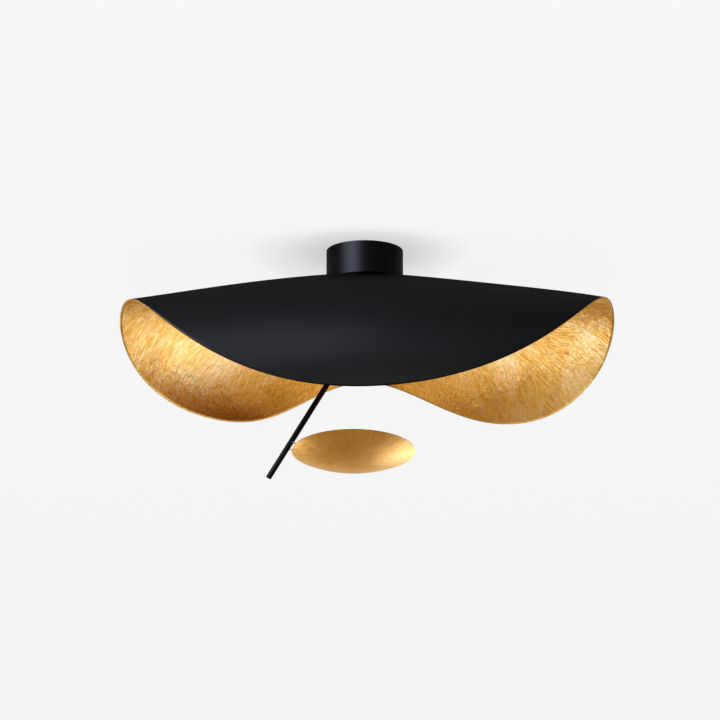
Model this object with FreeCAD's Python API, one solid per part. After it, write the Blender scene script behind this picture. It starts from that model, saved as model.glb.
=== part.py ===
import FreeCAD, Part
import math
import os
from FreeCAD import Placement, Rotation, Vector

# Ceiling light: a bent leaf shade hangs from a round canopy, and a small dish
# on a jointed rod throws light up into it. Millimetres, +Z up. The origin is
# on the canopy's axis in the ceiling plane, and the viewer stands towards -Y.

# Canopy and the strap that holds it to the ceiling
CANOPY_DIA = 125.0
CANOPY_HEIGHT = 53.5
CANOPY_WALL = 1.5
CANOPY_EDGE = 1.5
STRAP_LENGTH = 100.0
STRAP_WIDTH = 44.0
STRAP_SHEET = 2.0
STRAP_DROP = 14.0
STRAP_WEB = 44.0
STRAP_LEG_RUN = 6.0
SLOT_CENTRES = 78.0
SLOT_WIDTH = 5.0
SLOT_LENGTH = 14.0

# Threaded stem through canopy and shade
STEM_DIA = 10.0
STEM_BORE = 7.0
STEM_PROUD = 2.0
STEM_HOLE_ROOM = 0.1
NUT_FLATS = 14.0
NUT_HEIGHT = 4.0
WASHER_DIA = 26.0
WASHER_HEIGHT = 1.5
SPACER_DIA = 30.0
SPACER_HEIGHT = 4.5
FLANGE_DIA = 44.0
FLANGE_HEIGHT = 6.0
FLANGE_EDGE = 1.5

# Electrical parts inside the canopy
DRIVER_LENGTH = 66.0
DRIVER_WIDTH = 30.0
DRIVER_HEIGHT = 22.0
DRIVER_CORNER = 3.0
DRIVER_OFFSET = 31.0
PAD_HEIGHT = 1.0
PAD_INSET = 2.0
BLOCK_LENGTH = 30.0
BLOCK_WIDTH = 13.0
BLOCK_HEIGHT = 12.0
BLOCK_OFFSET = 15.5
BLOCK_POLE_COUNT = 3
BLOCK_POLE_PITCH = 9.0
BLOCK_POLE_BORE = 4.0
BLOCK_SCREW_CENTRES = 9.0
SMALL_SCREW_DIA = 3.0
SMALL_HEAD_DIA = 5.5
SMALL_HEAD_HEIGHT = 2.0
SMALL_DRIVE_DIA = 2.0
SMALL_DRIVE_DEPTH = 1.0
EARTH_SCREW_DIA = 4.0
EARTH_HEAD_DIA = 8.0
EARTH_HEAD_HEIGHT = 2.6
EARTH_SCREW_LENGTH = 5.0

# Shade: a flat disc with a flat clamping seat, bent into three lobes
DISC_RADIUS = 418.8
SHADE_SHEET = 1.5
LEAF_SKIN = 0.4
SEAT_RADIUS = 32.0

# How steeply the bent sheet falls away at its rim, in degrees, by what each
# share does round the disc. Azimuths count from the viewer's side.
DOME_ANGLE = 37.3
CURL_ANGLE = 25.2
LOBE_ANGLE = 40.0
LOBE_SKEW_ANGLE = -2.8
RIDGE_ANGLE = -3.9
OVAL_ANGLE = 10.0
FRONT_FOLD_ANGLE = -3.2
SIDE_CURL_ANGLE = -10.7
FLANK_FOLD_ANGLE = -21.5
FLANK_CURL_ANGLE = 31.5
FRONT_LEAN_ANGLE = 6.8
SIDE_LEAN_ANGLE = 1.5
LEAN_RAMP = 0.06

# How far the lobes spread round the disc at its rim, in degrees
LEAF_TURN_ANGLE = 1.5
PAIR_SPREAD_ANGLE = 2.3
LOBE_SPREAD_ANGLE = 5.3
RING_COUNT = 16
RING_GRADING = 1.5
RIB_COUNT = 48
RIB_STEP_COUNT = 5

# Swivel under the flange and the knuckle that carries the rod
RUN_GAP = 0.05
SLIP_DIA = 26.0
SLIP_HEIGHT = 1.0
HEAD_DIA = 28.0
HEAD_FLOOR = 7.0
HEAD_HEIGHT = 29.4
HEAD_EDGE = 1.0
SOCKET_ROOM_DIA = 21.6
SPRING_DIA = 20.0
SPRING_HEIGHT = 1.4
FORK_SPIGOT = 8.0
FORK_SHOULDER = 8.0
FORK_REACH = 27.85
CHEEK_RADIUS = 9.0
CHEEK_SHEET = 6.4
TONGUE_SHEET = 8.0
TONGUE_RADIUS = 8.0
TONGUE_LENGTH = 16.0
TILT_WASHER_DIA = 15.0
TILT_WASHER_HEIGHT = 0.5
PIVOT_DIA = 5.0
PIVOT_HEAD_DIA = 9.0
PIVOT_HEAD_HEIGHT = 3.0
PIVOT_DRIVE_FLATS = 3.0
PIVOT_NUT_FLATS = 8.0
PIVOT_NUT_HEIGHT = 4.0
GRUB_DIA = 4.0
GRUB_DRIVE_FLATS = 2.0
GRUB_DRIVE_DEPTH = 1.5

# Rod
ROD_ANGLE = 31.3
ROD_DIA = 9.0
ROD_BORE = 6.0
ROD_END = 295.5
SOCKET_DIA = 15.0
SOCKET_LENGTH = 30.0
SOCKET_EDGE = 1.2
ROD_SEAT_DEPTH = 22.0
PLUG_CAP = 2.0
PLUG_EDGE = 0.7
PLUG_SPIGOT = 8.0

# Dish, its two pins and the light module inside it
DISH_RADIUS = 99.0
DISH_DEPTH = 24.0
DISH_SHEET = 1.5
DISH_TILT = -8.6
DISH_STATION = 232.5
DISH_GAP = 2.4
CONTACT_AZIMUTH = 12.0
PIN_DIA = 2.4
PIN_PITCH = 14.0
PIN_RIM_SPREAD = 19.0
SINK_TOP = 9.0
SINK_HEIGHT = 4.0
BOARD_DIA = 80.0
BOARD_HEIGHT = 1.6
CHIP_SIDE = 3.0
CHIP_HEIGHT = 0.8
INNER_CHIP_RADIUS = 16.0
INNER_CHIP_COUNT = 6
OUTER_CHIP_RADIUS = 32.0
OUTER_CHIP_COUNT = 12
BOARD_SCREW_RADIUS = 24.0
MODULE_SCREW_COUNT = 3
SCREW_REACH = 3.0
DIFFUSER_DIA = 104.0
DIFFUSER_SHEET = 2.0
DIFFUSER_HEIGHT = 8.0
DIFFUSER_LIP = 4.0
BEZEL_BAND = 6.8
BEZEL_HEIGHT = 3.5
BEZEL_OVERLAP = 2.0
BEZEL_ROOM = 0.2

# Heights down the stem, from the ceiling
WEB_TOP = -STRAP_DROP
WEB_BOTTOM = WEB_TOP - STRAP_SHEET
CANOPY_BOTTOM = -CANOPY_HEIGHT
CANOPY_FLOOR = CANOPY_BOTTOM + CANOPY_WALL
SHADE_TOP = CANOPY_BOTTOM - SPACER_HEIGHT
SEAT_BOTTOM = SHADE_TOP - SHADE_SHEET
FLANGE_BOTTOM = SEAT_BOTTOM - FLANGE_HEIGHT
SLIP_BOTTOM = FLANGE_BOTTOM - SLIP_HEIGHT
HEAD_TOP = SLIP_BOTTOM - RUN_GAP
HEAD_CEILING = HEAD_TOP - HEAD_FLOOR
HEAD_BOTTOM = HEAD_TOP - HEAD_HEIGHT
SPRING_TOP = HEAD_CEILING - RUN_GAP
SPRING_BOTTOM = SPRING_TOP - SPRING_HEIGHT
LOCK_BOTTOM = SPRING_BOTTOM - 2 * NUT_HEIGHT
STEM_TOP = WEB_TOP + NUT_HEIGHT + STEM_PROUD
STEM_BOTTOM = LOCK_BOTTOM - STEM_PROUD
SLOT_FLOOR = HEAD_BOTTOM - FORK_SHOULDER
PIVOT = Vector(0, 0, HEAD_BOTTOM - FORK_REACH)
STEM_HOLE = STEM_DIA / 2 + STEM_HOLE_ROOM
SLOT_HALF = TONGUE_SHEET / 2 + TILT_WASHER_HEIGHT + 2 * RUN_GAP
CHEEK_OUTER = SLOT_HALF + CHEEK_SHEET

# The rod hangs from the pivot and leans towards -X
ROD_FRAME = Placement(PIVOT, Rotation(Vector(0, 1, 0), 180 + ROD_ANGLE))
ROD_START = TONGUE_LENGTH + SOCKET_LENGTH - ROD_SEAT_DEPTH

# Distances of the rings out along the flat disc
RINGS = [
    SEAT_RADIUS + (DISC_RADIUS - SEAT_RADIUS) * (k / RING_COUNT) ** RING_GRADING
    for k in range(RING_COUNT + 1)
]


# Shape helpers

def cylinder(radius, bottom, top, x=0.0, y=0.0):
    return Part.makeCylinder(radius, top - bottom, Vector(x, y, bottom))


def ring(radius, bore_radius, bottom, top):
    return cylinder(radius, bottom, top).cut(cylinder(bore_radius, bottom, top))


def hexagon(flats, bottom, top, x=0.0, y=0.0):
    corner = flats / math.sqrt(3)
    turns = [math.radians(60 * k) for k in range(7)]
    points = [Vector(x + corner * math.cos(t), y + corner * math.sin(t), bottom) for t in turns]
    return Part.Face(Part.makePolygon(points)).extrude(Vector(0, 0, top - bottom))


def turned(profile):
    """Solid turned about Z from a closed list of (radius, height) points."""
    points = [Vector(radius, 0, height) for radius, height in profile]
    face = Part.Face(Part.makePolygon(points + points[:1]))
    return face.revolve(Vector(0, 0, 0), Vector(0, 0, 1), 360)


def fuse(shapes):
    return shapes[0].multiFuse(shapes[1:]).removeSplitter()


def round_box(length, width, height, corner, centre):
    box = Part.makeBox(length, width, height, centre - Vector(length / 2, width / 2, 0))
    upright = [e for e in box.Edges if abs(e.tangentAt(e.FirstParameter).z) > 0.99]
    return box.makeFillet(corner, upright)


def small_screw(seat, reach, x=0.0, y=0.0):
    """Round-headed screw with its head standing up from the seat."""
    head = cylinder(SMALL_HEAD_DIA / 2, seat, seat + SMALL_HEAD_HEIGHT, x, y)
    drive_floor = seat + SMALL_HEAD_HEIGHT - SMALL_DRIVE_DEPTH
    drive = hexagon(SMALL_DRIVE_DIA, drive_floor, seat + SMALL_HEAD_HEIGHT, x, y)
    shank = cylinder(SMALL_SCREW_DIA / 2, seat - reach, seat, x, y)
    return head.cut(drive).fuse(shank).removeSplitter()


def grub_screw(inner, outer):
    """Set screw along +Z, flush at its outer end, with a socket there."""
    body = cylinder(GRUB_DIA / 2, inner, outer)
    return body.cut(hexagon(GRUB_DRIVE_FLATS, outer - GRUB_DRIVE_DEPTH, outer))


# Ceiling strap, canopy and stem

def ceiling_strap():
    half, web = STRAP_LENGTH / 2, STRAP_WEB / 2
    knee = web + STRAP_LEG_RUN
    upper = [(-half, 0), (-knee, 0), (-web, WEB_TOP), (web, WEB_TOP), (knee, 0), (half, 0)]
    lower = [(x, z - STRAP_SHEET) for x, z in reversed(upper)]
    outline = [Vector(x, -STRAP_WIDTH / 2, z) for x, z in upper + lower + upper[:1]]
    strap = Part.Face(Part.makePolygon(outline)).extrude(Vector(0, STRAP_WIDTH, 0))
    cuts = [cylinder(STEM_HOLE, WEB_BOTTOM, WEB_TOP)]
    for side in (-1, 1):
        centre = Vector(side * SLOT_CENTRES / 2, 0, -STRAP_SHEET)
        straight = SLOT_LENGTH - SLOT_WIDTH
        cuts.append(Part.makeBox(straight, SLOT_WIDTH, STRAP_SHEET,
                                 centre - Vector(straight / 2, SLOT_WIDTH / 2, 0)))
        for end in (-1, 1):
            x = centre.x + end * straight / 2
            cuts.append(cylinder(SLOT_WIDTH / 2, -STRAP_SHEET, 0, x))
    cuts.extend(cylinder(SMALL_SCREW_DIA / 2, WEB_BOTTOM, WEB_TOP, x, y) for x, y in block_screws())
    cuts.append(cylinder(EARTH_SCREW_DIA / 2, WEB_BOTTOM, WEB_TOP, 0, BLOCK_OFFSET))
    return strap.cut(cuts)


def canopy_cup():
    outer, inner = CANOPY_DIA / 2, CANOPY_DIA / 2 - CANOPY_WALL
    bottom, edge = CANOPY_BOTTOM, CANOPY_EDGE
    return turned([
        (STEM_HOLE, bottom), (outer - edge, bottom), (outer, bottom + edge), (outer, 0),
        (inner, 0), (inner, CANOPY_FLOOR), (STEM_HOLE, CANOPY_FLOOR),
    ])


def stem_tube():
    return ring(STEM_DIA / 2, STEM_BORE / 2, STEM_BOTTOM, STEM_TOP)


def stem_nuts():
    """Nuts above and below the strap, on the canopy's floor, and a locked pair at the swivel."""
    floor_nut = CANOPY_FLOOR + WASHER_HEIGHT
    seats = [WEB_TOP, WEB_BOTTOM - NUT_HEIGHT, floor_nut, LOCK_BOTTOM, LOCK_BOTTOM + NUT_HEIGHT]
    nuts = []
    for seat in seats:
        nut = hexagon(NUT_FLATS, seat, seat + NUT_HEIGHT)
        nuts.append(nut.cut(cylinder(STEM_DIA / 2, seat, seat + NUT_HEIGHT)))
    return Part.makeCompound(nuts)


def stem_washer():
    return ring(WASHER_DIA / 2, STEM_HOLE, CANOPY_FLOOR, CANOPY_FLOOR + WASHER_HEIGHT)


def shade_spacer():
    return ring(SPACER_DIA / 2, STEM_HOLE, SHADE_TOP, CANOPY_BOTTOM)


def clamp_flange():
    outer, edge = FLANGE_DIA / 2, FLANGE_EDGE
    return turned([
        (STEM_DIA / 2, FLANGE_BOTTOM), (outer - edge, FLANGE_BOTTOM),
        (outer, FLANGE_BOTTOM + edge), (outer, SEAT_BOTTOM), (STEM_DIA / 2, SEAT_BOTTOM),
    ])


# Electrical parts

def driver_pad():
    size = Vector(DRIVER_LENGTH - 2 * PAD_INSET, DRIVER_WIDTH - 2 * PAD_INSET, PAD_HEIGHT)
    corner = Vector(-size.x / 2, DRIVER_OFFSET - size.y / 2, CANOPY_FLOOR)
    return Part.makeBox(size.x, size.y, size.z, corner)


def led_driver():
    foot = Vector(0, DRIVER_OFFSET, CANOPY_FLOOR + PAD_HEIGHT)
    return round_box(DRIVER_LENGTH, DRIVER_WIDTH, DRIVER_HEIGHT, DRIVER_CORNER, foot)


def block_screws():
    return [(side * BLOCK_SCREW_CENTRES / 2, -BLOCK_OFFSET) for side in (-1, 1)]


def terminal_block():
    top = WEB_BOTTOM
    corner = Vector(-BLOCK_LENGTH / 2, -BLOCK_OFFSET - BLOCK_WIDTH / 2, top - BLOCK_HEIGHT)
    block = Part.makeBox(BLOCK_LENGTH, BLOCK_WIDTH, BLOCK_HEIGHT, corner)
    cuts = [cylinder(SMALL_SCREW_DIA / 2, top - BLOCK_HEIGHT, top, x, y) for x, y in block_screws()]
    for pole in range(BLOCK_POLE_COUNT):
        x = (pole - (BLOCK_POLE_COUNT - 1) / 2) * BLOCK_POLE_PITCH
        mouth = Vector(x, corner.y, top - BLOCK_HEIGHT / 2)
        cuts.append(Part.makeCylinder(BLOCK_POLE_BORE / 2, BLOCK_WIDTH, mouth, Vector(0, 1, 0)))
    return block.cut(cuts)


def terminal_screws():
    reach = STRAP_SHEET + BLOCK_HEIGHT
    return Part.makeCompound([small_screw(WEB_TOP, reach, x, y) for x, y in block_screws()])


def earth_screw():
    seat = WEB_BOTTOM
    head = cylinder(EARTH_HEAD_DIA / 2, seat - EARTH_HEAD_HEIGHT, seat, 0, BLOCK_OFFSET)
    shank = cylinder(EARTH_SCREW_DIA / 2, seat, seat + EARTH_SCREW_LENGTH, 0, BLOCK_OFFSET)
    return head.fuse(shank).removeSplitter()


# Shade: every radius of the flat disc is bent in its own upright plane

def outward_share(distance):
    return (distance - SEAT_RADIUS) / (DISC_RADIUS - SEAT_RADIUS)


def leaf_fall(distance, azimuth):
    """Angle by which the sheet falls away, at a distance out along the flat disc."""
    share = outward_share(distance)
    lean = FRONT_LEAN_ANGLE * math.cos(azimuth) + SIDE_LEAN_ANGLE * math.sin(azimuth)
    fold = FRONT_FOLD_ANGLE * math.cos(azimuth)
    fold += OVAL_ANGLE * math.cos(2 * azimuth) + FLANK_FOLD_ANGLE * math.sin(2 * azimuth)
    fold += LOBE_ANGLE * math.cos(3 * azimuth) + LOBE_SKEW_ANGLE * math.sin(3 * azimuth)
    curl = CURL_ANGLE + SIDE_CURL_ANGLE * math.sin(azimuth) + FLANK_CURL_ANGLE * math.sin(2 * azimuth)
    curl += RIDGE_ANGLE * math.cos(6 * azimuth)
    fall = DOME_ANGLE * share + lean * share / (share + LEAN_RAMP)
    return math.radians(fall + fold * share ** 2 + curl * share ** 3)


def leaf_swing(azimuth):
    """Turn of a rib's rim end round the axis, in radians."""
    swing = PAIR_SPREAD_ANGLE * math.sin(2 * azimuth) + LOBE_SPREAD_ANGLE * math.sin(3 * azimuth)
    return math.radians(swing)


def rib(azimuth):
    """Radius and height of one bent radius of the disc, at each ring."""
    radius, height = SEAT_RADIUS, SHADE_TOP
    stations = [(radius, height)]
    for near, far in zip(RINGS, RINGS[1:]):
        step = (far - near) / RIB_STEP_COUNT
        for k in range(RIB_STEP_COUNT):
            fall = leaf_fall(near + (k + 0.5) * step, azimuth)
            radius += step * math.cos(fall)
            height -= step * math.sin(fall)
        stations.append((radius, height))
    return stations


def leaf_point(station, share, azimuth):
    radius, height = station
    heading = azimuth - math.pi / 2 + math.radians(LEAF_TURN_ANGLE) + leaf_swing(azimuth) * share ** 2
    return Vector(radius * math.cos(heading), radius * math.sin(heading), height)


def leaf_rib_points(azimuth, depths):
    """Points of one rib at each ring, for each depth below the outer face."""
    nudge = 0.001
    before, here, after = rib(azimuth - nudge), rib(azimuth), rib(azimuth + nudge)
    columns = [[] for _ in depths]
    for k, distance in enumerate(RINGS):
        share = outward_share(distance)
        point = leaf_point(here[k], share, azimuth)
        across = leaf_point(after[k], share, azimuth + nudge)
        across -= leaf_point(before[k], share, azimuth - nudge)
        fall = leaf_fall(distance, azimuth)
        side = Vector(-point.y, point.x, 0)
        outward = Vector(point.x, point.y, 0).normalize() * math.cos(fall)
        outward += side * (2 * leaf_swing(azimuth) * share / (DISC_RADIUS - SEAT_RADIUS))
        outward.z = -math.sin(fall)
        normal = outward.cross(across).normalize()
        for column, depth in zip(columns, depths):
            column.append(point - normal * depth)
    return columns


def leaf_surfaces(depths):
    """One spline surface per depth: u runs round the disc, v out along it."""
    turns = [2 * math.pi * k / RIB_COUNT for k in range(RIB_COUNT + 1)]
    ribs = [leaf_rib_points(turn, depths) for turn in turns[:-1]]
    surfaces = []
    for layer in range(len(depths)):
        hoops = []
        for k in range(len(RINGS)):
            hoop = Part.BSplineCurve()
            hoop.interpolate(Points=[r[layer][k] for r in ribs], PeriodicFlag=True, Parameters=turns)
            hoops.append(hoop)
        runs = []
        for poles in zip(*[hoop.getPoles() for hoop in hoops]):
            run = Part.BSplineCurve()
            run.interpolate(Points=list(poles), Parameters=RINGS)
            runs.append(run)
        surface = Part.BSplineSurface()
        surface.buildFromPolesMultsKnots(
            [run.getPoles() for run in runs],
            hoops[0].getMultiplicities(), runs[0].getMultiplicities(),
            hoops[0].getKnots(), runs[0].getKnots(), True, False, 3, 3)
        surfaces.append(surface)
    return surfaces


def sewn_solid(faces):
    shell = Part.makeCompound(faces)
    shell.sewShape(0.001)
    solid = Part.makeSolid(shell.Shells[0])
    if solid.Volume < 0:
        solid.reverse()
    return solid


def hoop_edge(surface, distance):
    return surface.vIso(distance).toShape()


def edge_band(upper, lower, distance):
    return Part.makeRuledSurface(hoop_edge(upper, distance), hoop_edge(lower, distance))


def seat_disc(surface):
    return Part.Face(Part.Wire([hoop_edge(surface, SEAT_RADIUS)]))


def shade(outer, inner):
    solid = sewn_solid([
        outer.toShape(), seat_disc(outer), inner.toShape(), seat_disc(inner),
        edge_band(outer, inner, DISC_RADIUS),
    ])
    return solid.cut(cylinder(STEM_HOLE, SEAT_BOTTOM, SHADE_TOP))


def leaf_lining(upper, lower):
    """Metal leaf on the shade's inner face, from the flat seat out to the rim."""
    return sewn_solid([
        upper.toShape(), lower.toShape(),
        edge_band(upper, lower, SEAT_RADIUS), edge_band(upper, lower, DISC_RADIUS),
    ])


# Swivel and knuckle

def slip_washer():
    return ring(SLIP_DIA / 2, STEM_DIA / 2 + RUN_GAP, SLIP_BOTTOM, FLANGE_BOTTOM)


def spring_washer():
    return ring(SPRING_DIA / 2, STEM_DIA / 2 + RUN_GAP, SPRING_BOTTOM, SPRING_TOP)


def fork_grub_frame():
    height = HEAD_BOTTOM + FORK_SPIGOT / 2
    return Placement(Vector(0, 0, height), Rotation(Vector(0, 0, 1), Vector(0, 1, 0)))


def fork_grub():
    screw = grub_screw(SOCKET_ROOM_DIA / 2, HEAD_DIA / 2)
    return screw.transformGeometry(fork_grub_frame().toMatrix())


def placed(shape, frame):
    moved = shape.copy()
    moved.Placement = frame.multiply(moved.Placement)
    return moved


def swivel_head():
    outer, edge = HEAD_DIA / 2, HEAD_EDGE
    bore, room = STEM_DIA / 2 + RUN_GAP, SOCKET_ROOM_DIA / 2
    head = turned([
        (bore, HEAD_TOP), (bore, HEAD_CEILING), (room, HEAD_CEILING), (room, HEAD_BOTTOM),
        (outer, HEAD_BOTTOM), (outer, HEAD_TOP - edge), (outer - edge, HEAD_TOP),
    ])
    hole = placed(cylinder(GRUB_DIA / 2, SOCKET_ROOM_DIA / 2, HEAD_DIA / 2), fork_grub_frame())
    return head.cut(hole)


def fork():
    """Spigot in the head, a round shoulder and two cheeks with rounded ends."""
    spigot = cylinder(SOCKET_ROOM_DIA / 2, HEAD_BOTTOM, HEAD_BOTTOM + FORK_SPIGOT)
    shoulder = cylinder(HEAD_DIA / 2, SLOT_FLOOR, HEAD_BOTTOM)
    end = Part.makeCylinder(CHEEK_RADIUS, 2 * CHEEK_OUTER,
                            PIVOT - Vector(0, CHEEK_OUTER, 0), Vector(0, 1, 0))
    plate = Part.makeBox(2 * CHEEK_RADIUS, 2 * CHEEK_OUTER, SLOT_FLOOR - PIVOT.z,
                         PIVOT - Vector(CHEEK_RADIUS, CHEEK_OUTER, 0))
    slot_bottom = PIVOT.z - CHEEK_RADIUS
    slot = Part.makeBox(2 * CHEEK_RADIUS, 2 * SLOT_HALF, SLOT_FLOOR - slot_bottom,
                        Vector(-CHEEK_RADIUS, -SLOT_HALF, slot_bottom))
    hole = Part.makeCylinder(PIVOT_DIA / 2, 2 * CHEEK_OUTER,
                             PIVOT - Vector(0, CHEEK_OUTER, 0), Vector(0, 1, 0))
    wire_way = cylinder(STEM_BORE / 2, SLOT_FLOOR, HEAD_BOTTOM + FORK_SPIGOT)
    return fuse([spigot, shoulder, end.fuse(plate).cut(slot)]).cut([hole, wire_way])


def across_pivot(shape):
    """Turn a shape built along +Z so that it lies along +Y through the pivot."""
    return placed(shape, Placement(PIVOT, Rotation(Vector(0, 0, 1), Vector(0, 1, 0))))


def pivot_screw():
    shank = cylinder(PIVOT_DIA / 2, -CHEEK_OUTER, CHEEK_OUTER + PIVOT_NUT_HEIGHT)
    head = cylinder(PIVOT_HEAD_DIA / 2, -CHEEK_OUTER - PIVOT_HEAD_HEIGHT, -CHEEK_OUTER)
    drive = hexagon(PIVOT_DRIVE_FLATS, -CHEEK_OUTER - PIVOT_HEAD_HEIGHT,
                    -CHEEK_OUTER - PIVOT_HEAD_HEIGHT / 2)
    return across_pivot(head.cut(drive).fuse(shank).removeSplitter())


def pivot_nut():
    top = CHEEK_OUTER + PIVOT_NUT_HEIGHT
    nut = hexagon(PIVOT_NUT_FLATS, CHEEK_OUTER, top)
    return across_pivot(nut.cut(cylinder(PIVOT_DIA / 2, CHEEK_OUTER, top)))


def tilt_washers():
    washers = []
    for side in (-1, 1):
        middle = side * (TONGUE_SHEET / 2 + RUN_GAP + TILT_WASHER_HEIGHT / 2)
        low, high = middle - TILT_WASHER_HEIGHT / 2, middle + TILT_WASHER_HEIGHT / 2
        washers.append(across_pivot(ring(TILT_WASHER_DIA / 2, PIVOT_DIA / 2 + RUN_GAP, low, high)))
    return Part.makeCompound(washers)


# Rod, built along +Z from the pivot and then leaned over

def socket_grub_frame():
    height = TONGUE_LENGTH + SOCKET_LENGTH - ROD_SEAT_DEPTH / 2
    return Placement(Vector(0, 0, height), Rotation(Vector(0, 0, 1), Vector(0, 1, 0)))


def rod_socket():
    outer, edge = SOCKET_DIA / 2, SOCKET_EDGE
    end = TONGUE_LENGTH + SOCKET_LENGTH
    barrel = turned([
        (0, TONGUE_LENGTH), (outer - edge, TONGUE_LENGTH), (outer, TONGUE_LENGTH + edge),
        (outer, end - edge), (outer - edge, end), (0, end),
    ])
    tip = Part.makeCylinder(TONGUE_RADIUS, TONGUE_SHEET, Vector(0, -TONGUE_SHEET / 2, 0), Vector(0, 1, 0))
    half = SOCKET_DIA / 2 - SOCKET_EDGE
    web = Part.makeBox(2 * half, TONGUE_SHEET, TONGUE_LENGTH, Vector(-half, -TONGUE_SHEET / 2, 0))
    pivot_hole = Part.makeCylinder(PIVOT_DIA / 2 + RUN_GAP, TONGUE_SHEET,
                                   Vector(0, -TONGUE_SHEET / 2, 0), Vector(0, 1, 0))
    rod_hole = cylinder(ROD_DIA / 2, ROD_START, end)
    grub_hole = placed(cylinder(GRUB_DIA / 2, ROD_DIA / 2, outer), socket_grub_frame())
    return fuse([barrel, tip, web]).cut([pivot_hole, rod_hole, grub_hole])


def socket_grub():
    return placed(grub_screw(ROD_DIA / 2, SOCKET_DIA / 2), socket_grub_frame())


def rod_tube():
    return ring(ROD_DIA / 2, ROD_BORE / 2, ROD_START, ROD_END - PLUG_CAP)


def rod_plug():
    face, outer, edge = ROD_END - PLUG_CAP, ROD_DIA / 2, PLUG_EDGE
    return turned([
        (0, face - PLUG_SPIGOT), (ROD_BORE / 2, face - PLUG_SPIGOT), (ROD_BORE / 2, face),
        (outer, face), (outer, ROD_END - edge), (outer - edge, ROD_END), (0, ROD_END),
    ])


# Dish, built level with its rim in the plane z = 0

DISH_SPHERE = (DISH_RADIUS ** 2 + DISH_DEPTH ** 2) / (2 * DISH_DEPTH)
DISH_CENTRE = Vector(0, 0, DISH_SPHERE - DISH_DEPTH)
SINK_FACE = -SINK_TOP
BOARD_FACE = SINK_FACE + BOARD_HEIGHT
LIP_FACE = SINK_FACE + DIFFUSER_SHEET
BEZEL_INNER = DIFFUSER_DIA / 2 + DIFFUSER_LIP + BEZEL_ROOM


def dish_frame():
    """Tilt and place of the dish: its rim stands off the rod by the gap."""
    tilt = Rotation(Vector(1, 0, 0), DISH_TILT)
    lean = math.radians(ROD_ANGLE)
    away = Vector(math.cos(lean), 0, -math.sin(lean)) * (ROD_DIA / 2 + DISH_GAP)
    contact = ROD_FRAME.multVec(Vector(0, 0, DISH_STATION)) + away
    return Placement(contact - tilt.multVec(rim_point(CONTACT_AZIMUTH)), tilt)


def rim_point(azimuth):
    turn = math.radians(azimuth)
    return Vector(-DISH_RADIUS * math.cos(turn), -DISH_RADIUS * math.sin(turn), 0)


def cap_point(sphere, radius):
    return Vector(radius, 0, DISH_CENTRE.z - math.sqrt(sphere ** 2 - radius ** 2))


def dish_shell():
    """Spun cap of even thickness with its edge square to the sheet."""
    inner_sphere = DISH_SPHERE - DISH_SHEET
    inner_radius = DISH_RADIUS * inner_sphere / DISH_SPHERE
    arcs = []
    for sphere, radius in ((DISH_SPHERE, DISH_RADIUS), (inner_sphere, inner_radius)):
        points = [cap_point(sphere, radius * share) for share in (0, 0.5, 1)]
        arcs.append(Part.Arc(*points).toShape())
    outer, inner = arcs
    edge = Part.makeLine(outer.Vertexes[1].Point, inner.Vertexes[1].Point)
    axis = Part.makeLine(outer.Vertexes[0].Point, inner.Vertexes[0].Point)
    face = Part.Face(Part.Wire(Part.__sortEdges__([outer, edge, inner, axis])))
    return face.revolve(Vector(0, 0, 0), Vector(0, 0, 1), 360)


def dish_pins(frame, shell, rod):
    """Two pins that splay from the rod to the dish's rim, coped at both ends."""
    pins = []
    for side in (-1, 1):
        start = ROD_FRAME.multVec(Vector(0, 0, DISH_STATION + side * PIN_PITCH / 2))
        rim = frame.multVec(rim_point(CONTACT_AZIMUTH - side * PIN_RIM_SPREAD / 2))
        inward = frame.Rotation.multVec(Vector(0, 0, DISH_SHEET / 2))
        reach = rim + inward - start
        pin = Part.makeCylinder(PIN_DIA / 2, reach.Length, start, reach)
        bore = placed(cylinder(ROD_BORE / 2, 0, ROD_END), ROD_FRAME)
        pieces = pin.cut([rod, bore, shell]).Solids
        pins.append(max(pieces, key=lambda piece: piece.Volume))
    return Part.makeCompound(pins)


def heat_sink():
    """Flat plate whose edge seats on the inside of the cap."""
    plate = cylinder(DISH_RADIUS, SINK_FACE - SINK_HEIGHT, SINK_FACE)
    ball = Part.makeSphere(DISH_SPHERE - DISH_SHEET, DISH_CENTRE)
    holes = [cylinder(SMALL_SCREW_DIA / 2, SINK_FACE - SINK_HEIGHT, SINK_FACE, x, y)
             for x, y in module_screw_places()]
    return plate.common(ball).cut(holes)


def module_screw_places():
    places = []
    for radius in (BOARD_SCREW_RADIUS, bezel_screw_radius()):
        for k in range(MODULE_SCREW_COUNT):
            turn = 2 * math.pi * (k + 0.5) / MODULE_SCREW_COUNT
            places.append((radius * math.cos(turn), radius * math.sin(turn)))
    return places


def bezel_screw_radius():
    return BEZEL_INNER + BEZEL_BAND / 2


def module_screws():
    screws = []
    for k, (x, y) in enumerate(module_screw_places()):
        on_board = k < MODULE_SCREW_COUNT
        seat = BOARD_FACE if on_board else SINK_FACE + BEZEL_HEIGHT
        reach = seat - SINK_FACE + SCREW_REACH
        screws.append(small_screw(seat, reach, x, y))
    return Part.makeCompound(screws)


def led_board():
    holes = [cylinder(SMALL_SCREW_DIA / 2, SINK_FACE, BOARD_FACE, x, y)
             for x, y in module_screw_places()[:MODULE_SCREW_COUNT]]
    return cylinder(BOARD_DIA / 2, SINK_FACE, BOARD_FACE).cut(holes)


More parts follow.
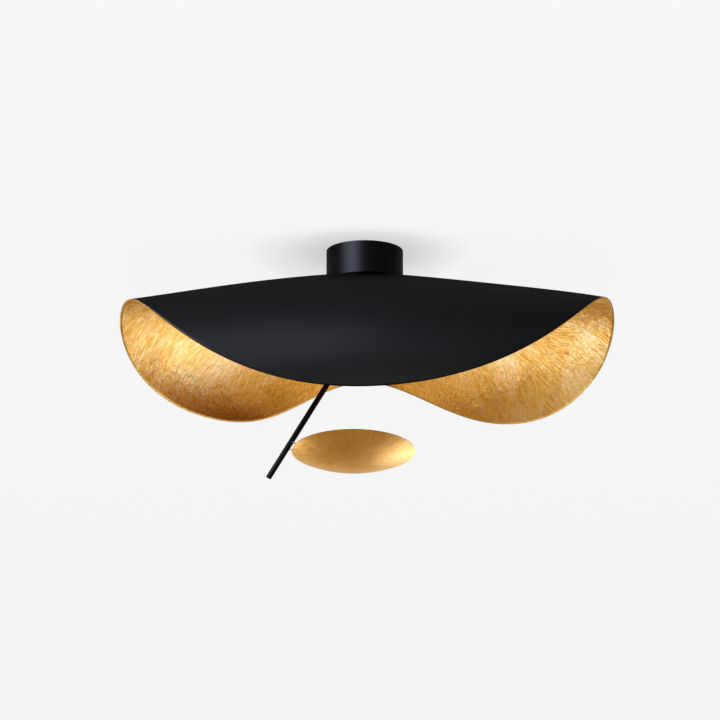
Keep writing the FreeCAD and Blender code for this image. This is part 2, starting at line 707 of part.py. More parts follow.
def led_chips():
    chips = []
    corner = Vector(-CHIP_SIDE / 2, -CHIP_SIDE / 2, BOARD_FACE)
    rings = ((INNER_CHIP_RADIUS, INNER_CHIP_COUNT), (OUTER_CHIP_RADIUS, OUTER_CHIP_COUNT))
    for radius, count in rings:
        for k in range(count):
            chip = Part.makeBox(CHIP_SIDE, CHIP_SIDE, CHIP_HEIGHT, corner + Vector(radius, 0, 0))
            chips.append(placed(chip, Placement(Vector(), Rotation(Vector(0, 0, 1), 360.0 * k / count))))
    return Part.makeCompound(chips)


def diffuser():
    outer, lip = DIFFUSER_DIA / 2, DIFFUSER_DIA / 2 + DIFFUSER_LIP
    inner, top = outer - DIFFUSER_SHEET, SINK_FACE + DIFFUSER_HEIGHT
    return turned([
        (0, top), (outer, top), (outer, LIP_FACE), (lip, LIP_FACE), (lip, SINK_FACE),
        (inner, SINK_FACE), (inner, top - DIFFUSER_SHEET), (0, top - DIFFUSER_SHEET),
    ])


def bezel_ring():
    outer, lip = BEZEL_INNER + BEZEL_BAND, BEZEL_INNER
    mouth, top = lip - BEZEL_ROOM - BEZEL_OVERLAP, SINK_FACE + BEZEL_HEIGHT
    ring_solid = turned([
        (outer, SINK_FACE), (outer, top), (mouth, top), (mouth, LIP_FACE),
        (lip, LIP_FACE), (lip, SINK_FACE),
    ])
    holes = [cylinder(SMALL_SCREW_DIA / 2, SINK_FACE, top, x, y)
             for x, y in module_screw_places()[MODULE_SCREW_COUNT:]]
    return ring_solid.cut(holes)


# All pieces by name, each in its place

def build():
    outer, inner, leaf = leaf_surfaces([0.0, SHADE_SHEET, SHADE_SHEET + LEAF_SKIN])
    dish_place = dish_frame()
    shell = placed(dish_shell(), dish_place)
    rod = placed(rod_tube(), ROD_FRAME)
    pins = dish_pins(dish_place, shell, rod)
    return {
        "ceiling_strap": ceiling_strap(),
        "canopy_cup": canopy_cup(),
        "stem_tube": stem_tube(),
        "stem_nuts": stem_nuts(),
        "stem_washer": stem_washer(),
        "driver_pad": driver_pad(),
        "led_driver": led_driver(),
        "terminal_block": terminal_block(),
        "terminal_screws": terminal_screws(),
        "earth_screw": earth_screw(),
        "shade_spacer": shade_spacer(),
        "shade": shade(outer, inner),
        "leaf_lining": leaf_lining(inner, leaf),
        "clamp_flange": clamp_flange(),
        "slip_washer": slip_washer(),
        "spring_washer": spring_washer(),
        "swivel_head": swivel_head(),
        "fork": fork(),
        "fork_grub": fork_grub(),
        "pivot_screw": pivot_screw(),
        "pivot_nut": pivot_nut(),
        "tilt_washers": tilt_washers(),
        "rod_socket": placed(rod_socket(), ROD_FRAME),
        "socket_grub": placed(socket_grub(), ROD_FRAME),
        "rod_tube": rod,
        "rod_plug": placed(rod_plug(), ROD_FRAME),
        "dish_pins": pins,
        "dish_shell": shell,
        "heat_sink": placed(heat_sink(), dish_place),
        "led_board": placed(led_board(), dish_place),
        "led_chips": placed(led_chips(), dish_place),
        "diffuser": placed(diffuser(), dish_place),
        "bezel_ring": placed(bezel_ring(), dish_place),
        "module_screws": placed(module_screws(), dish_place),
    }


os.makedirs("parts", exist_ok=True)
for name, shape in build().items():
    shape.exportStep("parts/" + name + ".step")
    print(name, len(shape.Solids), shape.isValid(), round(shape.Volume))
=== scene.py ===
# %% [markdown]
# # A leaf-shaped ceiling light
# The light is a large disc of black sheet, bent into three lobes and gilded on
# its inner face. It hangs under a small round canopy. A thin rod comes down
# from a knuckle under the leaf and carries a shallow gold dish that throws
# light up into the leaf.
#
# The solids come ready made, with their joints, so this lesson dresses them:
# it rebuilds the leaf as one fine smooth sheet, and gives every piece a finish.

# %% Load the solids
import math

import bpy
from mathutils import Matrix, Vector


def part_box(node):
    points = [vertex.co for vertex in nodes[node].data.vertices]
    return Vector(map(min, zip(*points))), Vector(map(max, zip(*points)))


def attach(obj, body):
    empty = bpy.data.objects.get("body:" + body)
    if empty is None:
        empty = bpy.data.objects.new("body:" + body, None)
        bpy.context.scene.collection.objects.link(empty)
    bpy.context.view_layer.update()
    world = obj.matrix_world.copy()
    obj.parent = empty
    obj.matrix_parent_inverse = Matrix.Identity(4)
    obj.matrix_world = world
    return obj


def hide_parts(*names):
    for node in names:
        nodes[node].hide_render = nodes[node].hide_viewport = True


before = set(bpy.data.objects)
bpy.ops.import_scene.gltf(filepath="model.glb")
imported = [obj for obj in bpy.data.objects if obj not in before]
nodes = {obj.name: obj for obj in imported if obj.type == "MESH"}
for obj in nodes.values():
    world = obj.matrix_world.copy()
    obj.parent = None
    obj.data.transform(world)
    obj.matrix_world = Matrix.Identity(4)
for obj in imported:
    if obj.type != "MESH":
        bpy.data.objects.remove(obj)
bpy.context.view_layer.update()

# %% [markdown]
# ## The camera
# The viewer stands back and looks up at the ceiling. A long lens keeps the
# canopy's sides upright, so the camera stands 3.5 m off and sees little more
# than the light. Its place is worked out from the canopy's centre: the ray to
# it leaves the lens a little above and to the right of the middle.

# %% Place the camera
DISTANCE = 3.5
FOCAL_PIXELS = 2143.1
FRAME_PIXELS = 720.0
SENSOR = 36.0
TILT_UP = math.radians(14.2)
CANOPY_PIXEL = (364.73, 251.6)

forward = Vector((0, math.cos(TILT_UP), math.sin(TILT_UP)))
upward = Vector((0, -math.sin(TILT_UP), math.cos(TILT_UP)))
right = Vector((1, 0, 0))
aside = (CANOPY_PIXEL[0] - FRAME_PIXELS / 2) / FOCAL_PIXELS
above = (FRAME_PIXELS / 2 - CANOPY_PIXEL[1]) / FOCAL_PIXELS
ray = forward + right * aside + upward * above

camera_data = bpy.data.cameras.new("viewer")
camera_data.sensor_width = SENSOR
camera_data.lens = FOCAL_PIXELS / FRAME_PIXELS * SENSOR
camera = bpy.data.objects.new("viewer", camera_data)
camera.matrix_world = Matrix.Translation(-ray * DISTANCE) @ Matrix(
    (right, upward, -forward)).transposed().to_4x4()
bpy.context.scene.collection.objects.link(camera)
bpy.context.scene.camera = camera
bpy.context.scene.view_settings.view_transform = "Standard"
print("camera at", tuple(round(c, 3) for c in camera.location), "lens", round(camera_data.lens, 1))

# %% [markdown]
# ## Small helpers for node trees
# Materials and shape rules are both trees of nodes. Written out one call at a
# time they get long, so one helper adds a node with its settings and its
# inputs. A socket given as an input is linked, and anything else is its value.
# The other helpers use it for what every finish needs: sums of numbers and
# vectors, a band of colours, a mix, a stretched range, a noise and a relief.

# %% Helpers for nodes
def add(tree, kind, inputs=None, **settings):
    """Add a node with its settings, and link or set its inputs."""
    node = tree.nodes.new(kind)
    for name, value in settings.items():
        setattr(node, name, value)
    for name, value in (inputs or {}).items():
        socket = node.inputs[name]
        if isinstance(value, bpy.types.NodeSocket):
            tree.links.new(value, socket)
        else:
            socket.default_value = value
    return node


def calc(tree, operation, *values):
    """One sum, product or function of numbers and sockets."""
    inputs = dict(enumerate(values))
    return add(tree, "ShaderNodeMath", inputs, operation=operation).outputs[0]


def ramp(tree, factor, *stops):
    """A band of colours: each stop is a place from 0 to 1 and its colour."""
    node = add(tree, "ShaderNodeValToRGB", {"Fac": factor})
    while len(node.color_ramp.elements) < len(stops):
        node.color_ramp.elements.new(0.5)
    for element, (place, colour) in zip(node.color_ramp.elements, stops):
        element.position = place
        element.color = (*colour, 1)
    return node.outputs["Color"]


def mix(tree, factor, first, second):
    """Two colours mixed: all of the first at 0, all of the second at 1."""
    return add(tree, "ShaderNodeMix", {0: factor, 6: first, 7: second}, data_type="RGBA").outputs[2]


def spread(tree, value, low, high):
    """Stretch a value that runs from 0 to 1 over another range."""
    node = add(tree, "ShaderNodeMapRange", {"Value": value, "To Min": low, "To Max": high})
    return node.outputs[0]


def progress(tree, value, low, high):
    """How far a value has come from low to high, kept between 0 and 1."""
    node = add(tree, "ShaderNodeMapRange", {"Value": value, "From Min": low, "From Max": high})
    return node.outputs[0]


def new_material(name):
    """A material with its node tree and its one shader."""
    material = bpy.data.materials.new(name)
    material.use_nodes = True
    tree = material.node_tree
    shader = tree.nodes["Principled BSDF"]
    return material, tree, shader


def noise(tree, vector, scale, detail, roughness=0.55):
    """Cloudy values round one half."""
    node = add(tree, "ShaderNodeTexNoise", {
        "Vector": vector, "Scale": scale, "Detail": detail, "Roughness": roughness})
    return node.outputs["Fac"]


def noise_vector(tree, vector, scale, detail):
    """Three cloudy values at once, for pushing coordinates about."""
    node = add(tree, "ShaderNodeTexNoise", {"Vector": vector, "Scale": scale, "Detail": detail})
    return node.outputs["Color"]


def vector_calc(tree, operation, *values):
    """The same as calc, for vectors."""
    inputs = dict(enumerate(values))
    return add(tree, "ShaderNodeVectorMath", inputs, operation=operation).outputs[0]


def blend(tree, *parts):
    """The sum of values, each times its weight."""
    total = None
    for value, weight in parts:
        part = calc(tree, "MULTIPLY", value, weight)
        total = part if total is None else calc(tree, "ADD", total, part)
    return total


def bump(tree, shader, height, strength, distance):
    """Relief of the surface, as deep as distance in metres."""
    node = add(tree, "ShaderNodeBump", {
        "Height": height, "Strength": strength, "Distance": distance})
    tree.links.new(node.outputs["Normal"], shader.inputs["Normal"])


print("helpers ready")

# %% [markdown]
# ## The ceiling
# The light is fixed to a white ceiling, and the viewer sees only that ceiling
# behind it. One large plane makes it. Its upper side is see-through, so that
# the light can also be looked at from above.
#
# A real ceiling takes its white from the whole room, and a canopy screwed to
# it leaves a soft dark halo where it stands in the way. Lamps strong enough
# for that white would bleach the light itself. So the paint glows to the eye
# instead, and Ambient Occlusion dims the glow close to the canopy.

# %% Ceiling
HALF = 40.0
CEILING_LEVEL = 0.0005
PAINT = (0.06, 0.06, 0.06)
GLOW = 0.89
MIRRORED_GLOW = 0.4
HALO_REACH = 0.076
HALO_LEVEL = 0.48


def seen_ray(tree, mirrored):
    """One for a ray that is looked along, a share for a mirrored one and nought for any other."""
    path = add(tree, "ShaderNodeLightPath").outputs
    glossy = calc(tree, "MULTIPLY", path["Is Glossy Ray"], mirrored)
    looked = calc(tree, "MAXIMUM", path["Is Camera Ray"], path["Is Transmission Ray"])
    return calc(tree, "MAXIMUM", looked, glossy)


def ceiling_paint(colour, glow):
    """Dark matt paint that takes its white from a glow for the eye and for mirrors."""
    material, tree, shader = new_material("ceiling_paint")
    tree.nodes.remove(shader)
    paint = add(tree, "ShaderNodeBsdfDiffuse", {"Color": (*colour, 1)}).outputs[0]
    open_share = add(tree, "ShaderNodeAmbientOcclusion", {"Distance": HALO_REACH}).outputs["AO"]
    glow_here = spread(tree, open_share, HALO_LEVEL * glow, glow)
    strength = calc(tree, "MULTIPLY", seen_ray(tree, MIRRORED_GLOW), glow_here)
    shine = add(tree, "ShaderNodeEmission", {"Strength": strength}).outputs[0]
    both = add(tree, "ShaderNodeAddShader", {0: paint, 1: shine}).outputs[0]
    behind = add(tree, "ShaderNodeNewGeometry").outputs["Backfacing"]
    clear = add(tree, "ShaderNodeBsdfTransparent").outputs[0]
    both = add(tree, "ShaderNodeMixShader", {0: behind, 1: both, 2: clear}).outputs[0]
    tree.links.new(both, tree.nodes["Material Output"].inputs["Surface"])
    return material


ceiling_mesh = bpy.data.meshes.new("ceiling")
corners = [(x * HALF, y * HALF, CEILING_LEVEL) for x, y in ((-1, -1), (-1, 1), (1, 1), (1, -1))]
ceiling_mesh.from_pydata(corners, [], [(0, 1, 2, 3)])
ceiling_mesh.materials.append(ceiling_paint(PAINT, GLOW))
ceiling = bpy.data.objects.new("ceiling", ceiling_mesh)
bpy.context.scene.collection.objects.link(ceiling)
ceiling.visible_shadow = False
print("ceiling faces", "down" if ceiling_mesh.polygons[0].normal.z < 0 else "up")

# %% [markdown]
# ## Lamps and the mirrored room
# One broad key lamp stands low behind the viewer and lights every surface.
# The rest is for what is mirrored, as in a photographer's studio: white cards
# that only glossy surfaces show. The card at the front left gives the matt
# black sheet its one soft patch. The card at the right makes the tip of the
# left lobe and the right end of the dish shine, and the card at the left does
# the same for the right lobe.
#
# Gold shows what it mirrors, tinted. White all round would make it look like
# yellow plastic. So glossy rays see a room in place of the white: an oak
# floor below that turns paler with distance, and light walls at eye level.

# %% Lamps and sky
def lamp(name, place, target, width, height, power, colour=(1, 1, 1)):
    """An oval soft lamp that shines from its place towards a target, unseen itself."""
    data = bpy.data.lights.new(name, "AREA")
    data.shape = "ELLIPSE"
    data.size = width
    data.size_y = height
    data.energy = power
    data.color = colour
    piece = bpy.data.objects.new(name, data)
    piece.location = place
    piece.visible_camera = False
    aim = Vector(target) - Vector(place)
    piece.rotation_euler = aim.to_track_quat("-Z", "Y").to_euler()
    bpy.context.scene.collection.objects.link(piece)
    return piece


def card(*settings):
    """A lamp that only glossy surfaces show, like a white card held up for them."""
    lamp(*settings).visible_diffuse = False


COLD_WHITE = (0.9, 0.95, 1.15)
COOL_WHITE = (0.96, 1, 1.06)
lamp("key", (0, -4.92, -3.42), (0, 0, -0.1), 3.8, 3.8, 270)
card("front_card", (-1.75, -2.0, 1.1), (-0.1, -0.2, -0.2), 1.6, 1.6, 400, COLD_WHITE)
card("right_card", (0.45, 0.78, -0.67), (-0.2, 0, -0.25), 0.55, 1.0, 2.4, COOL_WHITE)
card("left_card", (-1.87, 1.71, -2.11), (0.33, -0.02, -0.2), 1.5, 0.9, 11, COOL_WHITE)

WORLD_LIGHT = 0.25
WORLD_SEEN = 0.93
WHITE = (1, 1, 1, 1)
FLOOR_UNDER = (0.29, 0.175, 0.05)
FLOOR = (0.32, 0.20, 0.06)
FLOOR_FAR = (0.58, 0.42, 0.20)
WALL = (0.85, 0.80, 0.72)
world = bpy.data.worlds.new("room_light")
world.use_nodes = True
sky = world.node_tree
path = add(sky, "ShaderNodeLightPath").outputs
looked = calc(sky, "MAXIMUM", path["Is Camera Ray"], path["Is Transmission Ray"])
strength = calc(sky, "MAXIMUM", spread(sky, looked, WORLD_LIGHT, WORLD_SEEN), path["Is Glossy Ray"])
direction = add(sky, "ShaderNodeTexCoord").outputs["Generated"]
height = add(sky, "ShaderNodeSeparateXYZ", {0: direction}).outputs["Z"]
level = progress(sky, height, -1.0, 0.0)
room = ramp(sky, level, (0.0, FLOOR_UNDER), (0.3, FLOOR), (0.62, FLOOR_FAR), (1.0, WALL))
room = mix(sky, path["Is Glossy Ray"], WHITE, room)
sky.links.new(strength, sky.nodes["Background"].inputs["Strength"])
sky.links.new(room, sky.nodes["Background"].inputs["Color"])
bpy.context.scene.world = world

# %% [markdown]
# ## Rule of the leaf
# The real leaf starts as a flat disc with a flat seat at its centre. Every
# radius of the disc, a rib, is then bent in its own upright plane: at each
# distance out, the sheet falls away at an angle that depends on the direction.
# Three shares of that angle make three lobes that hang down and three ridges
# between them.
#
# A subdivided cage could only come near this. Geometry Nodes can follow the
# rule itself: a grid gives the ribs and rings, each point works out its fall,
# and Accumulate Field adds up the small steps along every rib, just as the
# sheet itself runs on from its seat.

# %% Sizes of the leaf, in metres and degrees
LEAF = {
    "Disc Radius": 0.4188, "Seat Radius": 0.032, "Start": 0.0051, "Top": -0.058,
    "Dome": 37.3, "Curl": 25.2, "Lobes": 40.0, "Lobe Skew": -2.8,
    "Ridge Breadth": -3.9, "Oval": 10.0,
    "Front Fold": -3.2, "Side Curl": -10.7, "Flank Fold": -21.5, "Flank Curl": 31.5,
    "Front Lean": 6.8, "Side Lean": 1.5, "Lean Ramp": 0.06,
    "Turn": 1.5, "Pair Spread": 2.3, "Lobe Spread": 5.3, "Depth": 0.0,
}
RIBS = 288
RINGS = 104
SEAM = 0.00002
FIRST_RING = 0.0001


def leaf_rule():
    """The node tree that bends a flat disc into the leaf."""
    tree = bpy.data.node_groups.new("bent_leaf", "GeometryNodeTree")
    face = tree.interface
    face.new_socket("Geometry", in_out="OUTPUT", socket_type="NodeSocketGeometry")
    for name in ("Ribs", "Rings"):
        face.new_socket(name, in_out="INPUT", socket_type="NodeSocketInt")
    for name in LEAF:
        face.new_socket(name, in_out="INPUT", socket_type="NodeSocketFloat")
    face.new_socket("Finish", in_out="INPUT", socket_type="NodeSocketMaterial")
    size = add(tree, "NodeGroupInput").outputs

    def times(*values):
        result = values[0]
        for value in values[1:]:
            result = calc(tree, "MULTIPLY", result, value)
        return result

    def plus(*values):
        result = values[0]
        for value in values[1:]:
            result = calc(tree, "ADD", result, value)
        return result

    def wave(amount, function, count, angle):
        return times(amount, calc(tree, function, times(angle, float(count))))

    grid = add(tree, "GeometryNodeMeshGrid", {
        "Vertices X": plus(size["Ribs"], 1.0), "Vertices Y": plus(size["Rings"], 1.0)})
    position = add(tree, "GeometryNodeInputPosition").outputs[0]
    place = add(tree, "ShaderNodeSeparateXYZ", {0: position}).outputs
    angle = times(plus(place["X"], 0.5), math.tau)
    outward = plus(place["Y"], 0.5)
    run = calc(tree, "SUBTRACT", size["Disc Radius"], size["Start"])
    span = calc(tree, "SUBTRACT", size["Disc Radius"], size["Seat Radius"])
    step = calc(tree, "DIVIDE", run, size["Rings"])
    distance = plus(size["Start"], times(outward, run))

    def share_at(length):
        beyond = calc(tree, "SUBTRACT", length, size["Seat Radius"])
        return calc(tree, "MAXIMUM", calc(tree, "DIVIDE", beyond, span), 0.0)

    share = share_at(calc(tree, "SUBTRACT", distance, times(step, 0.5)))
    lean = plus(
        wave(size["Front Lean"], "COSINE", 1, angle), wave(size["Side Lean"], "SINE", 1, angle))
    fold = plus(
        wave(size["Front Fold"], "COSINE", 1, angle),
        wave(size["Oval"], "COSINE", 2, angle), wave(size["Flank Fold"], "SINE", 2, angle),
        wave(size["Lobes"], "COSINE", 3, angle), wave(size["Lobe Skew"], "SINE", 3, angle))
    curl = plus(
        size["Curl"], wave(size["Side Curl"], "SINE", 1, angle),
        wave(size["Flank Curl"], "SINE", 2, angle), wave(size["Ridge Breadth"], "COSINE", 6, angle))
    fall = plus(
        times(size["Dome"], share),
        times(lean, calc(tree, "DIVIDE", share, plus(share, size["Lean Ramp"]))),
        times(fold, share, share), times(curl, share, share, share))
    fall = calc(tree, "RADIANS", fall)
    moved = times(step, calc(tree, "GREATER_THAN", outward, FIRST_RING))
    rib = calc(tree, "FLOOR", calc(tree, "DIVIDE", plus(
        add(tree, "GeometryNodeInputIndex").outputs[0], 0.5), plus(size["Rings"], 1.0)))

    def along_rib(value):
        total = add(tree, "GeometryNodeAccumulateField", {
            "Value": value, "Group ID": rib}, data_type="FLOAT")
        return total.outputs["Leading"]

    radius = plus(size["Start"], along_rib(times(moved, calc(tree, "COSINE", fall))))
    height = calc(tree, "SUBTRACT", size["Top"], along_rib(times(moved, calc(tree, "SINE", fall))))
    reach = share_at(distance)
    swing = plus(
        wave(size["Pair Spread"], "SINE", 2, angle), wave(size["Lobe Spread"], "SINE", 3, angle))
    swing = plus(size["Turn"], times(swing, reach, reach))
    heading = plus(angle, -math.pi / 2, calc(tree, "RADIANS", swing))
    point = add(tree, "ShaderNodeCombineXYZ", {
        "X": times(radius, calc(tree, "COSINE", heading)),
        "Y": times(radius, calc(tree, "SINE", heading)), "Z": height}).outputs[0]
    flat = add(tree, "ShaderNodeCombineXYZ", {
        "X": times(distance, calc(tree, "SINE", angle)),
        "Y": times(distance, calc(tree, "COSINE", angle), -1.0)}).outputs[0]

    stored = add(tree, "GeometryNodeStoreNamedAttribute", {
        "Geometry": grid.outputs["Mesh"], "Name": "flat", "Value": flat},
        data_type="FLOAT_VECTOR", domain="POINT").outputs[0]
    bent = add(tree, "GeometryNodeSetPosition", {"Geometry": stored, "Position": point}).outputs[0]
    bent = add(tree, "GeometryNodeFlipFaces", {"Mesh": bent}).outputs[0]
    bent = add(tree, "GeometryNodeMergeByDistance", {"Geometry": bent, "Distance": SEAM}).outputs[0]
    inset = add(tree, "ShaderNodeVectorMath", {
        0: add(tree, "GeometryNodeInputNormal").outputs[0], "Scale": times(size["Depth"], -1.0)},
        operation="SCALE").outputs[0]
    bent = add(tree, "GeometryNodeSetPosition", {"Geometry": bent, "Offset": inset}).outputs[0]
    bent = add(tree, "GeometryNodeSetShadeSmooth", {0: bent}).outputs[0]
    bent = add(tree, "GeometryNodeRealizeInstances", {"Geometry": bent}).outputs[0]
    bent = add(tree, "GeometryNodeSetMaterial", {
        "Geometry": bent, "Material": size["Finish"]}).outputs[0]
    out = add(tree, "NodeGroupOutput")
    tree.links.new(bent, out.inputs["Geometry"])
    return tree


leaf_tree = leaf_rule()
print("leaf rule:", len(leaf_tree.nodes), "nodes")

# %% [markdown]
# A modifier with this tree makes a sheet. The result is copied into a plain
# mesh, and Solidify then gives it the thickness of the real sheet.

# %% Make a sheet by the rule
def bent_sheet(name, finish, **changes):
    """A leaf-shaped mesh made by the rule, with some of its sizes changed."""
    helper = bpy.data.objects.new(name + "_helper", bpy.data.meshes.new(name + "_helper"))
    bpy.context.scene.collection.objects.link(helper)
    rule = helper.modifiers.new("rule", "NODES")
    rule.node_group = leaf_tree
    values = {**LEAF, **changes, "Ribs": RIBS, "Rings": RINGS, "Finish": finish}
    for item in leaf_tree.interface.items_tree:
        if item.in_out == "INPUT":
            rule[item.identifier] = values[item.name]
    graph = bpy.context.evaluated_depsgraph_get()
    mesh = bpy.data.meshes.new_from_object(helper.evaluated_get(graph))
    bpy.data.objects.remove(helper)
    mesh.name = name
    piece = bpy.data.objects.new(name, mesh)
    bpy.context.scene.collection.objects.link(piece)
    print(name, len(mesh.polygons), "faces")
    return piece


def thicken(piece, thickness, rim_slot=0):
    """Give a sheet its thickness, inwards, and its rim a finish from another slot."""
    wall = piece.modifiers.new("sheet", "SOLIDIFY")
    wall.thickness = thickness
    wall.offset = -1
    wall.material_offset_rim = rim_slot


# %% [markdown]
# ## Black powder coat
# The coat is matt, nearly black with a cold tinge, and has the fine orange
# peel of sprayed powder. A cloudy noise shifts its tone and gloss a little,
# and a fine one lifts the surface. Being rough, it hardly gleams at a glancing
# angle, so Layer Weight takes the gleam away there. The turned pieces, canopy,
# knuckle and rod, carry the same coat with a smoother skin, which shows an
# upright gleam along their sides.

# %% Black coat
BLACK = 0.0016
FULL_GLEAM = 0.07
GLANCING_GLEAM = 0.008
GLANCE_FROM_TO = (0.45, 0.85)
COAT_CLOUDS = 9.0
PEEL = 900.0
PEEL_DEPTH = 0.0003


def black_coat(name, gloss):
    """Black powder coat whose gloss runs between two roughnesses."""
    material, tree, shader = new_material(name)
    where = add(tree, "ShaderNodeTexCoord").outputs["Object"]
    cloud = noise(tree, where, COAT_CLOUDS, detail=3)
    grain = noise(tree, where, PEEL, detail=2)
    dark = (BLACK * 0.9, BLACK * 0.9, BLACK)
    light = (BLACK * 1.25, BLACK * 1.3, BLACK * 1.5)
    tone = ramp(tree, cloud, (0.3, dark), (0.75, light))
    tree.links.new(tone, shader.inputs["Base Color"])
    tree.links.new(spread(tree, cloud, *gloss), shader.inputs["Roughness"])
    glance = add(tree, "ShaderNodeLayerWeight", {"Blend": 0.5}).outputs["Facing"]
    glance = progress(tree, glance, *GLANCE_FROM_TO)
    gleam = spread(tree, glance, FULL_GLEAM, GLANCING_GLEAM)
    tree.links.new(gleam, shader.inputs["Specular IOR Level"])
    bump(tree, shader, grain, 0.12, PEEL_DEPTH)
    return material


coat = black_coat("black_coat", gloss=(0.46, 0.56))
smooth_coat = black_coat("smooth_black_coat", gloss=(0.3, 0.38))
print("black coat")

# %% [markdown]
# ## Gold leaf
# Imitation gold comes in thin square leaves that are laid by hand and brushed
# down outwards from the middle. They crinkle and overlap, so no two spots
# mirror the room alike. Voronoi cells with ragged borders stand for the
# leaves. Each has its own tone and its own direction near the radius, and a
# noise drawn out along that direction makes the brush strokes.
#
# Painted shade darkens the gold towards the back and the front, away from a
# band across the middle. The pattern reads the flat disc's own coordinates, as
# the gilder works on the sheet, so it never stretches over the lobes. The dish
# has the same gold, better smoothed, without the painted shade.

# %% Gold leaf
PALE_GOLD = (0.98, 0.85, 0.55, 1)
PAINTED_SHADE_GOLD = (0.42, 0.18, 0.008, 1)
TEAR = (0.03, 0.03, 0.03)
TEAR_SCALE = 22.0
SWING = 0.65
SWAY = (0.006, 0.006, 0)
SWAY_SCALE = 14.0
DRAW = (0.08, 1, 1)
STROKE = 0.0022
GOLD_CLOUDS = 9.0
CRUMPLE = 85.0
CREASES = 26.0
VEIN_FROM_TO = (1.4, 2.2)
RIDGE_FROM_TO = (0.58, 0.74)
RELIEF = 0.004
LEAST_SHADE_Y = 0.03
PAINTED_SHADE_FROM_TO = (0.05, 0.3)


def gold_leaf(
        name, tones, gloss, attribute=None, centre=(0, 0, 0), crease=1.0, leaf=0.08, painted_shade=0.0):
    """Brushed metal leaf laid round the centre, with painted shade darkening it away from a middle
    band.
    """
    material, tree, shader = new_material(name)
    if attribute:
        where = add(tree, "ShaderNodeAttribute", attribute_name=attribute).outputs["Vector"]
    else:
        where = add(tree, "ShaderNodeTexCoord").outputs["Object"]
        where = vector_calc(tree, "SUBTRACT", where, centre)

    torn = noise_vector(tree, where, TEAR_SCALE, detail=3)
    torn = vector_calc(tree, "MULTIPLY_ADD", torn, TEAR, where)
    leaves = add(tree, "ShaderNodeTexVoronoi", {
        "Vector": torn, "Scale": 1 / leaf, "Randomness": 0.6}, distance="CHEBYCHEV").outputs
    chance = add(tree, "ShaderNodeSeparateColor", {"Color": leaves["Color"]}).outputs[0]
    middle = add(tree, "ShaderNodeSeparateXYZ", {0: leaves["Position"]}).outputs
    heading = calc(tree, "ARCTAN2", middle["Y"], middle["X"])
    heading = calc(tree, "ADD", heading, spread(tree, chance, -SWING, SWING))
    inside = vector_calc(tree, "SUBTRACT", where, leaves["Position"])
    sway = noise_vector(tree, where, SWAY_SCALE, detail=1)
    inside = vector_calc(tree, "MULTIPLY_ADD", sway, SWAY, inside)
    turned = add(tree, "ShaderNodeVectorRotate", {
        "Vector": inside, "Angle": heading}, rotation_type="Z_AXIS", invert=True).outputs[0]
    drawn = vector_calc(tree, "MULTIPLY_ADD", turned, DRAW, leaves["Color"])

    clouds = noise(tree, where, GOLD_CLOUDS, detail=5, roughness=0.6)
    crumple = noise(tree, inside, CRUMPLE, detail=2)
    strokes = noise(tree, drawn, 1 / STROKE, detail=2, roughness=0.5)
    creases = add(tree, "ShaderNodeTexNoise", {
        "Vector": inside, "Scale": CREASES, "Detail": 4.0, "Roughness": 0.6,
        "Offset": 1.0, "Gain": 1.5}, noise_type="RIDGED_MULTIFRACTAL").outputs[0]
    veins = progress(tree, creases, *VEIN_FROM_TO)
    ridges = progress(tree, strokes, *RIDGE_FROM_TO)
    tone = ramp(tree, blend(tree, (clouds, 0.45), (strokes, 0.45), (chance, 0.1)), *tones)
    pale = calc(tree, "MULTIPLY", calc(tree, "MAXIMUM", ridges, veins), 0.5 * crease)
    tone = mix(tree, pale, tone, PALE_GOLD)
    # Painted shade: the gold is darkened with distance in front of or behind the middle band.
    if painted_shade:
        back = add(tree, "ShaderNodeSeparateXYZ", {0: where}).outputs["Y"]
        away = calc(tree, "ABSOLUTE", calc(tree, "SUBTRACT", back, LEAST_SHADE_Y))
        depth = calc(tree, "MULTIPLY", progress(tree, away, *PAINTED_SHADE_FROM_TO), painted_shade)
        tone = mix(tree, depth, tone, PAINTED_SHADE_GOLD)
    tree.links.new(tone, shader.inputs["Base Color"])
    shader.inputs["Metallic"].default_value = 1.0
    tree.links.new(spread(tree, crumple, *gloss), shader.inputs["Roughness"])
    bump(tree, shader, blend(tree, (strokes, 0.22), (crumple, 0.5)), 0.65 * crease, RELIEF)
    return material


LEAF_TONES = (0.37, (0.60, 0.29, 0.03)), (0.5, (0.92, 0.60, 0.17)), (0.62, (0.99, 0.84, 0.54))
DISH_TONES = (0.34, (0.74, 0.42, 0.09)), (0.5, (0.87, 0.55, 0.17)), (0.66, (0.96, 0.67, 0.28))
leaf_gold = gold_leaf("leaf_gold", LEAF_TONES, (0.32, 0.5), attribute="flat", painted_shade=0.92)
dish_corners = [Vector(corner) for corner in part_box("dish_shell")]
dish_middle = (dish_corners[0] + dish_corners[1]) / 2
dish_gold = gold_leaf(
    "dish_gold", DISH_TONES, (0.3, 0.46), centre=dish_middle, crease=0.3, leaf=0.07)
print("gold leaf for shade and dish")

# %% [markdown]
# ## The dressed leaf
# The black sheet is 1.5 mm thick and the gilder carries the gold over its cut
# edge, so the rim takes the gold finish. The gilding is a sheet of its own,
# set in by the thickness of the black one. It starts at the seat, because the
# clamped middle is left bare.

# %% Dress the leaf
SHEET = 0.0015
SKIN = 0.0004

black_leaf = bent_sheet("black_leaf", coat)
black_leaf.data.materials.append(leaf_gold)
thicken(black_leaf, SHEET, rim_slot=1)
gilding = bent_sheet("gilding", leaf_gold, Start=LEAF["Seat Radius"], Depth=SHEET)
thicken(gilding, SKIN)
for piece, node, slot in (
        (black_leaf, "shade", "black_sheet"), (gilding, "leaf_lining", "gold_leaf")):
    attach(piece, "fixed")
    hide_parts(node)

# %% [markdown]
# ## Finishes of the smaller pieces
# Each metal or plastic differs in colour, gloss and grain, but all are made
# the same way: a cloudy tone, an uneven gloss and a fine relief. So one
# function takes the two ends of the tone and of the gloss, and how far the
# grain is drawn out along one direction, as turning or drawing leaves it.

# %% Plain finishes
SMALL_CLOUDS = 45.0
GRAIN_DEPTH = 0.0002


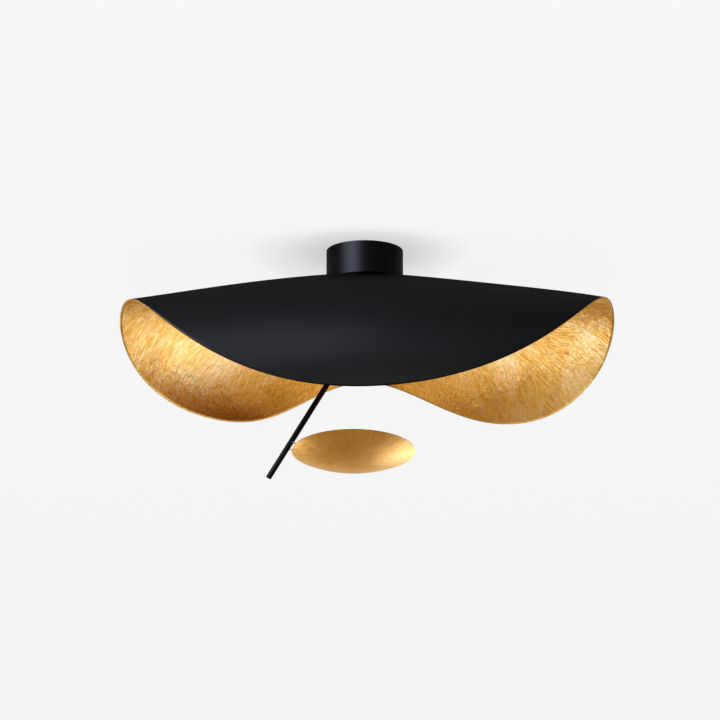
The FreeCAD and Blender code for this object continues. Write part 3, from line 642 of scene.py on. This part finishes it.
def finish(name, dark, light, gloss, metal=0.0, grain=600.0, drawn=(1, 1, 1), depth=0.1):
    """A metal or plastic between two tones and two roughnesses."""
    material, tree, shader = new_material(name)
    where = add(tree, "ShaderNodeTexCoord").outputs["Object"]
    along = add(tree, "ShaderNodeMapping", {"Vector": where, "Scale": drawn}).outputs[0]
    cloud = noise(tree, where, SMALL_CLOUDS, detail=3)
    fine = noise(tree, along, grain, detail=3)
    mixed = blend(tree, (cloud, 0.6), (fine, 0.4))
    tree.links.new(ramp(tree, mixed, (0.35, dark), (0.65, light)), shader.inputs["Base Color"])
    tree.links.new(spread(tree, mixed, *gloss), shader.inputs["Roughness"])
    shader.inputs["Metallic"].default_value = metal
    bump(tree, shader, fine, depth, GRAIN_DEPTH)
    return material


zinc = finish(
    "zinc_plate", (0.42, 0.43, 0.45), (0.68, 0.69, 0.72), (0.28, 0.42), 1.0, 700, (1, 1, 0.2))
burnished = finish("blackened_steel", (0.02, 0.02, 0.022), (0.06, 0.06, 0.065), (0.3, 0.42), 1.0)
brass = finish("brass", (0.55, 0.36, 0.12), (0.78, 0.58, 0.26), (0.22, 0.34), 1.0)
turned = finish(
    "turned_aluminium", (0.55, 0.56, 0.57), (0.78, 0.79, 0.8), (0.28, 0.4), 1.0, 500, (1, 1, 0.1))
foam = finish("foam_tape", (0.03, 0.03, 0.03), (0.07, 0.07, 0.07), (0.85, 0.95), depth=0.4)
casing = finish("driver_casing", (0.74, 0.74, 0.72), (0.82, 0.82, 0.8), (0.42, 0.52))
nylon = finish("nylon", (0.6, 0.59, 0.53), (0.72, 0.71, 0.66), (0.38, 0.48))
board = finish("board_mask", (0.78, 0.78, 0.75), (0.86, 0.86, 0.83), (0.3, 0.4))
phosphor = finish("phosphor", (0.72, 0.52, 0.08), (0.86, 0.68, 0.16), (0.35, 0.45))
opal = finish("opal_cover", (0.86, 0.85, 0.8), (0.92, 0.91, 0.87), (0.3, 0.38), depth=0.03)
print("plain finishes ready")

# %% [markdown]
# ## Who wears what
# The pieces that hang in sight are black or gold. Inside the canopy are a
# zinc-plated strap, stem and nuts, the driver in its pale casing and the
# nylon terminals. The light module in the dish has a turned aluminium bezel
# with an opal cover over the board and its chips.

# %% Give every node its finish
FINISHES = {
    coat: "shade_spacer clamp_flange",
    smooth_coat: "canopy_cup swivel_head fork rod_socket rod_tube rod_plug",
    zinc: "ceiling_strap stem_tube stem_nuts stem_washer terminal_screws spring_washer "
          "module_screws dish_pins",
    burnished: "fork_grub pivot_screw pivot_nut socket_grub",
    brass: "earth_screw",
    turned: "heat_sink bezel_ring",
    foam: "driver_pad",
    casing: "led_driver",
    nylon: "terminal_block slip_washer tilt_washers",
    board: "led_board",
    phosphor: "led_chips",
    opal: "diffuser",
    dish_gold: "dish_shell",
}
for material, names in FINISHES.items():
    for name in names.split():
        nodes[name].data.materials.clear()
        nodes[name].data.materials.append(material)
print("dressed nodes:", sum(len(names.split()) for names in FINISHES.values()))
